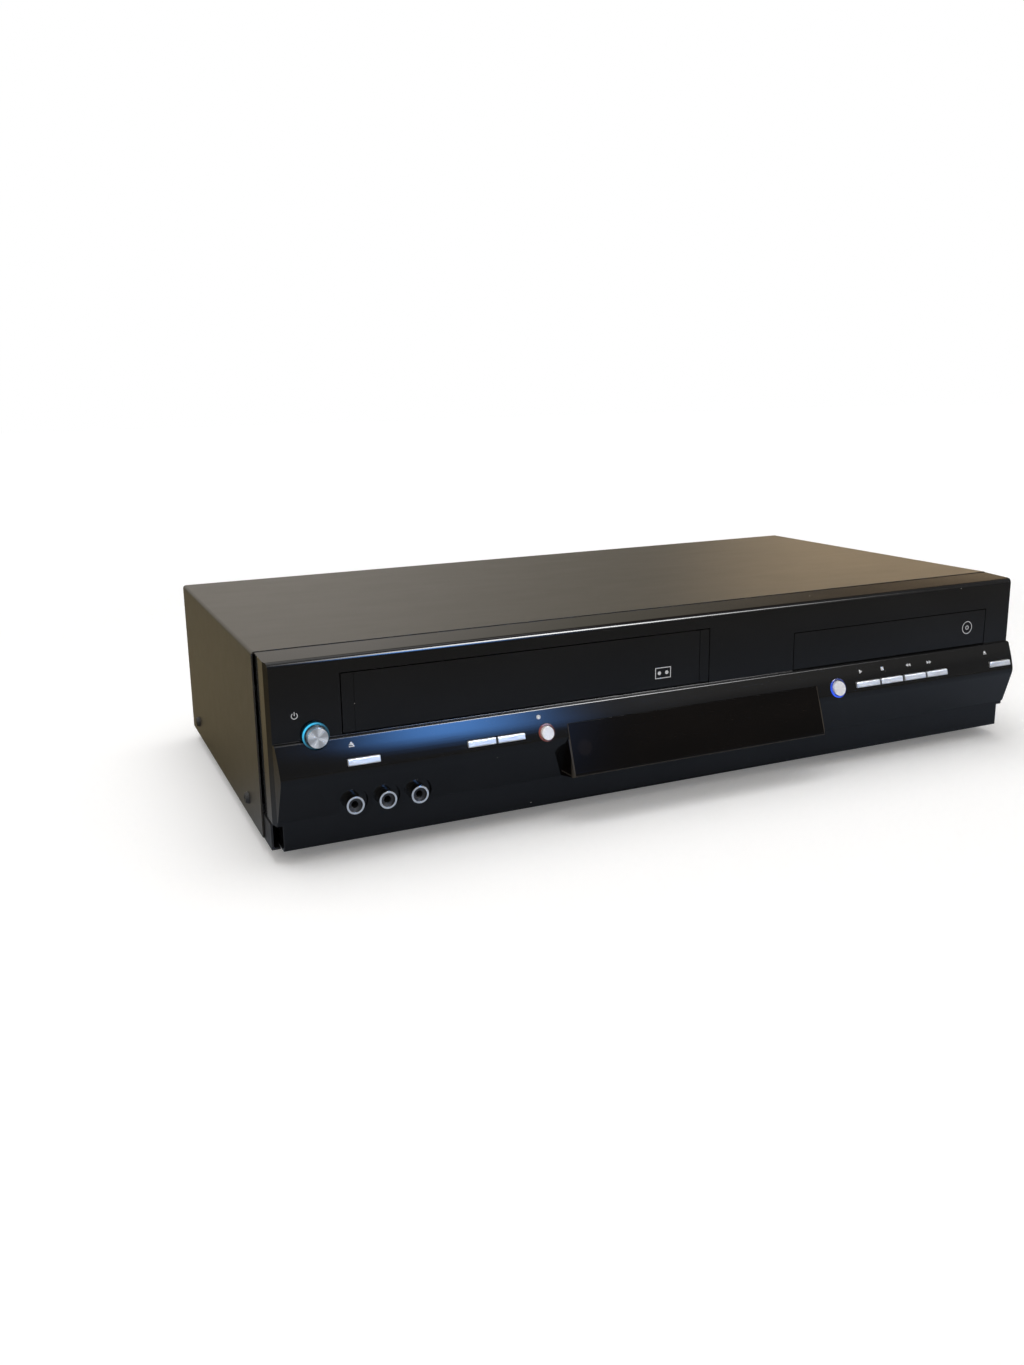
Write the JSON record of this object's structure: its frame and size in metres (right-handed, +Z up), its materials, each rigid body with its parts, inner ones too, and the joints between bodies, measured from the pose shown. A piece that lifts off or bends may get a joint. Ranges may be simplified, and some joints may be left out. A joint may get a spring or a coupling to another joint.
{
  "type": "dvd vcr combo player",
  "caption": "Full-width black home player with a cassette slot behind a sprung door on the left, a sliding disc tray on the right, a smoked display and silver front buttons.",
  "frame": {"origin": "On the ground at the middle of the bounding box, under the case.", "axes": "+X to the right, +Y to the back, +Z up. The fascia faces -Y."},
  "size_m": [0.4336, 0.2351, 0.0935],
  "materials": {
    "dark_paint": "semi-gloss dark paint on steel",
    "zinc_steel": "zinc-plated sheet steel",
    "dark_steel": "satin dark paint",
    "fascia_black": "high-gloss black moulding",
    "lens_smoke": "smoked glossy acrylic",
    "satin_silver": "spun and satin aluminium",
    "ring_glow": "translucent coloured plastic",
    "rubber_black": "soft black rubber",
    "black_screw": "blackened steel",
    "bright_steel": "bright plated steel",
    "black_plastic": "matt black moulding",
    "board_green": "green circuit board",
    "board_brown": "brown paper circuit board",
    "tube_glass": "clear glass over a dark grid",
    "drum_metal": "polished aluminium",
    "motor_metal": "plated steel",
    "nylon": "ivory nylon",
    "brass_arm": "tan nylon",
    "dark_pickup": "dark moulding with a glass lens"
  },
  "bodies": {
    "case": {"top_cover": "dark_paint", "bottom_chassis": "zinc_steel", "rear_panel": "dark_steel", "front_panel": "fascia_black", "feet": "rubber_black", "cover_screws": "black_screw", "mechanism_screws": "bright_steel", "display_window": "lens_smoke", "door_spring": "bright_steel", "light_rings": "ring_glow", "display_tube": "tube_glass", "jack_shells": "bright_steel", "jack_blocks": "black_plastic", "front_board": "board_green", "main_board": "board_green", "power_board": "board_brown", "board_parts": "black_plastic", "tuner_module": "bright_steel", "ac_inlet": "black_plastic", "deck_plate": "zinc_steel", "cassette_housing": "zinc_steel", "lower_drum": "drum_metal", "capstan_motor": "motor_metal", "tape_heads": "motor_metal", "loader_frame": "black_plastic", "clamp_bridge": "zinc_steel", "drive_belt": "rubber_black", "loader_motor": "motor_metal"},
    "door": {"cassette_door": "fascia_black"},
    "power": {"power_button": "satin_silver"},
    "eject": {"eject_button": "satin_silver"},
    "input": {"input_button": "satin_silver"},
    "speed": {"speed_button": "satin_silver"},
    "record": {"record_button": "satin_silver"},
    "selector": {"selector_button": "satin_silver"},
    "play": {"play_button": "satin_silver"},
    "stop": {"stop_button": "satin_silver"},
    "rewind": {"rewind_button": "satin_silver"},
    "forward": {"forward_button": "satin_silver"},
    "open_close": {"open_close_button": "satin_silver"},
    "slider": {"loading_slider": "dark_steel"},
    "holder": {"cassette_holder": "zinc_steel"},
    "drum": {"upper_drum": "drum_metal"},
    "capstan_shaft": {"capstan": "motor_metal"},
    "pinch": {"pinch_arm": "motor_metal"},
    "roller": {"pinch_roller": "rubber_black"},
    "supply_table": {"supply_reel": "nylon"},
    "takeup_table": {"takeup_reel": "nylon"},
    "supply_lever": {"supply_arm": "brass_arm"},
    "takeup_lever": {"takeup_arm": "brass_arm"},
    "threading_gear": {"loading_gear": "nylon"},
    "tray": {"disc_tray": "black_plastic", "tray_bezel": "fascia_black"},
    "tray_pinion": {"tray_gear": "nylon"},
    "pulley": {"drive_pulley": "nylon"},
    "clamp": {"disc_clamp": "nylon"},
    "traverse": {"traverse_base": "dark_steel", "guide_rods": "bright_steel"},
    "spindle": {"turntable": "dark_pickup"},
    "sled": {"pickup": "dark_pickup"}
  },
  "joints": [
    {"name": "door_hinge", "type": "hinge", "parent": "case", "child": "door", "pos_m": [-0.08575, -0.09953, 0.0888], "axis": [1, 0, 0], "range_deg": [0, 85], "stiffness_Nm_per_rad": 0.004, "springref_deg": -20.05},
    {"name": "power_press", "type": "slide", "parent": "case", "child": "power", "axis": [0, 1, 0], "range_m": [0, 0.0007], "stiffness_N_per_m": 600, "springref_m": -0.0004},
    {"name": "eject_press", "type": "slide", "parent": "case", "child": "eject", "axis": [0, 1, 0], "range_m": [0, 0.0007], "stiffness_N_per_m": 600, "springref_m": -0.0004},
    {"name": "input_press", "type": "slide", "parent": "case", "child": "input", "axis": [0, 1, 0], "range_m": [0, 0.0007], "stiffness_N_per_m": 600, "springref_m": -0.0004},
    {"name": "speed_press", "type": "slide", "parent": "case", "child": "speed", "axis": [0, 1, 0], "range_m": [0, 0.0007], "stiffness_N_per_m": 600, "springref_m": -0.0004},
    {"name": "record_press", "type": "slide", "parent": "case", "child": "record", "axis": [0, 1, 0], "range_m": [0, 0.0007], "stiffness_N_per_m": 600, "springref_m": -0.0004},
    {"name": "selector_press", "type": "slide", "parent": "case", "child": "selector", "axis": [0, 1, 0], "range_m": [0, 0.0007], "stiffness_N_per_m": 600, "springref_m": -0.0004},
    {"name": "play_press", "type": "slide", "parent": "case", "child": "play", "axis": [0, 1, 0], "range_m": [0, 0.0007], "stiffness_N_per_m": 600, "springref_m": -0.0004},
    {"name": "stop_press", "type": "slide", "parent": "case", "child": "stop", "axis": [0, 1, 0], "range_m": [0, 0.0007], "stiffness_N_per_m": 600, "springref_m": -0.0004},
    {"name": "rewind_press", "type": "slide", "parent": "case", "child": "rewind", "axis": [0, 1, 0], "range_m": [0, 0.0007], "stiffness_N_per_m": 600, "springref_m": -0.0004},
    {"name": "forward_press", "type": "slide", "parent": "case", "child": "forward", "axis": [0, 1, 0], "range_m": [0, 0.0007], "stiffness_N_per_m": 600, "springref_m": -0.0004},
    {"name": "open_close_press", "type": "slide", "parent": "case", "child": "open_close", "axis": [0, 1, 0], "range_m": [0, 0.0007], "stiffness_N_per_m": 600, "springref_m": -0.0004},
    {"name": "cassette_in", "type": "slide", "parent": "case", "child": "slider", "axis": [0, 1, 0], "range_m": [0, 0.045]},
    {"name": "cassette_down", "type": "slide", "parent": "slider", "child": "holder", "axis": [0, 0, -1], "range_m": [0, 0.02]},
    {"name": "drum_spin", "type": "hinge", "parent": "case", "child": "drum", "pos_m": [-0.08575, 0.07137, 0.037], "axis": [0.0872, 0, 0.9962], "continuous": true},
    {"name": "capstan_spin", "type": "hinge", "parent": "case", "child": "capstan_shaft", "pos_m": [-0.02375, 0.03537, 0.037], "axis": [0, 0, 1], "continuous": true},
    {"name": "pinch_swing", "type": "hinge", "parent": "case", "child": "pinch", "pos_m": [0.00225, 0.04437, 0.037], "axis": [0, 0, 1], "range_deg": [-22.7, 0]},
    {"name": "roller_spin", "type": "hinge", "parent": "pinch", "child": "roller", "pos_m": [-0.01075, 0.02838, 0.037], "axis": [0, 0, 1], "continuous": true},
    {"name": "supply_spin", "type": "hinge", "parent": "case", "child": "supply_table", "pos_m": [-0.13175, -0.02363, 0.037], "axis": [0, 0, 1], "continuous": true},
    {"name": "takeup_spin", "type": "hinge", "parent": "case", "child": "takeup_table", "pos_m": [-0.03975, -0.02363, 0.037], "axis": [0, 0, 1], "continuous": true},
    {"name": "takeup_swing", "type": "hinge", "parent": "case", "child": "takeup_lever", "pos_m": [-0.07375, 0.02038, 0.037], "axis": [0, 0, 1], "range_deg": [0, 65]},
    {"name": "supply_swing", "type": "hinge", "parent": "case", "child": "supply_lever", "pos_m": [-0.09775, 0.02038, 0.037], "axis": [0, 0, 1], "range_deg": [-65, 0]},
    {"name": "threading_spin", "type": "hinge", "parent": "case", "child": "threading_gear", "pos_m": [-0.07375, -0.00063, 0.037], "axis": [0, 0, 1], "range_deg": [-87, 0]},
    {"name": "tray_out", "type": "slide", "parent": "case", "child": "tray", "axis": [0, -1, 0], "range_m": [0, 0.132]},
    {"name": "tray_gear_spin", "type": "hinge", "parent": "case", "child": "tray_pinion", "pos_m": [0.08625, -0.07162, 0.059], "axis": [0, 0, 1], "range_deg": [0, 632]},
    {"name": "pulley_spin", "type": "hinge", "parent": "case", "child": "pulley", "pos_m": [0.10725, -0.07162, 0.059], "axis": [0, 0, 1], "range_deg": [-842, 0]},
    {"name": "clamp_spin", "type": "hinge", "parent": "case", "child": "clamp", "pos_m": [0.12825, -0.03163, 0.059], "axis": [0, 0, 1], "continuous": true},
    {"name": "traverse_tilt", "type": "hinge", "parent": "case", "child": "traverse", "pos_m": [0.12825, 0.06638, 0.047], "axis": [1, 0, 0], "range_deg": [0, 6]},
    {"name": "spindle_spin", "type": "hinge", "parent": "traverse", "child": "spindle", "pos_m": [0.12825, -0.03163, 0.047], "axis": [0, 0, 1], "continuous": true},
    {"name": "pickup_slide", "type": "slide", "parent": "traverse", "child": "sled", "axis": [0, 1, 0], "range_m": [0, 0.034]}
  ],
  "couplings": [
    {"joint": "supply_swing", "follows": "takeup_swing", "ratio": -1},
    {"joint": "threading_spin", "follows": "takeup_swing", "ratio": -1.3333},
    {"joint": "tray_gear_spin", "follows": "tray_out", "rad_per_m": 83.333},
    {"joint": "pulley_spin", "follows": "tray_out", "rad_per_m": -111.11}
  ]
}
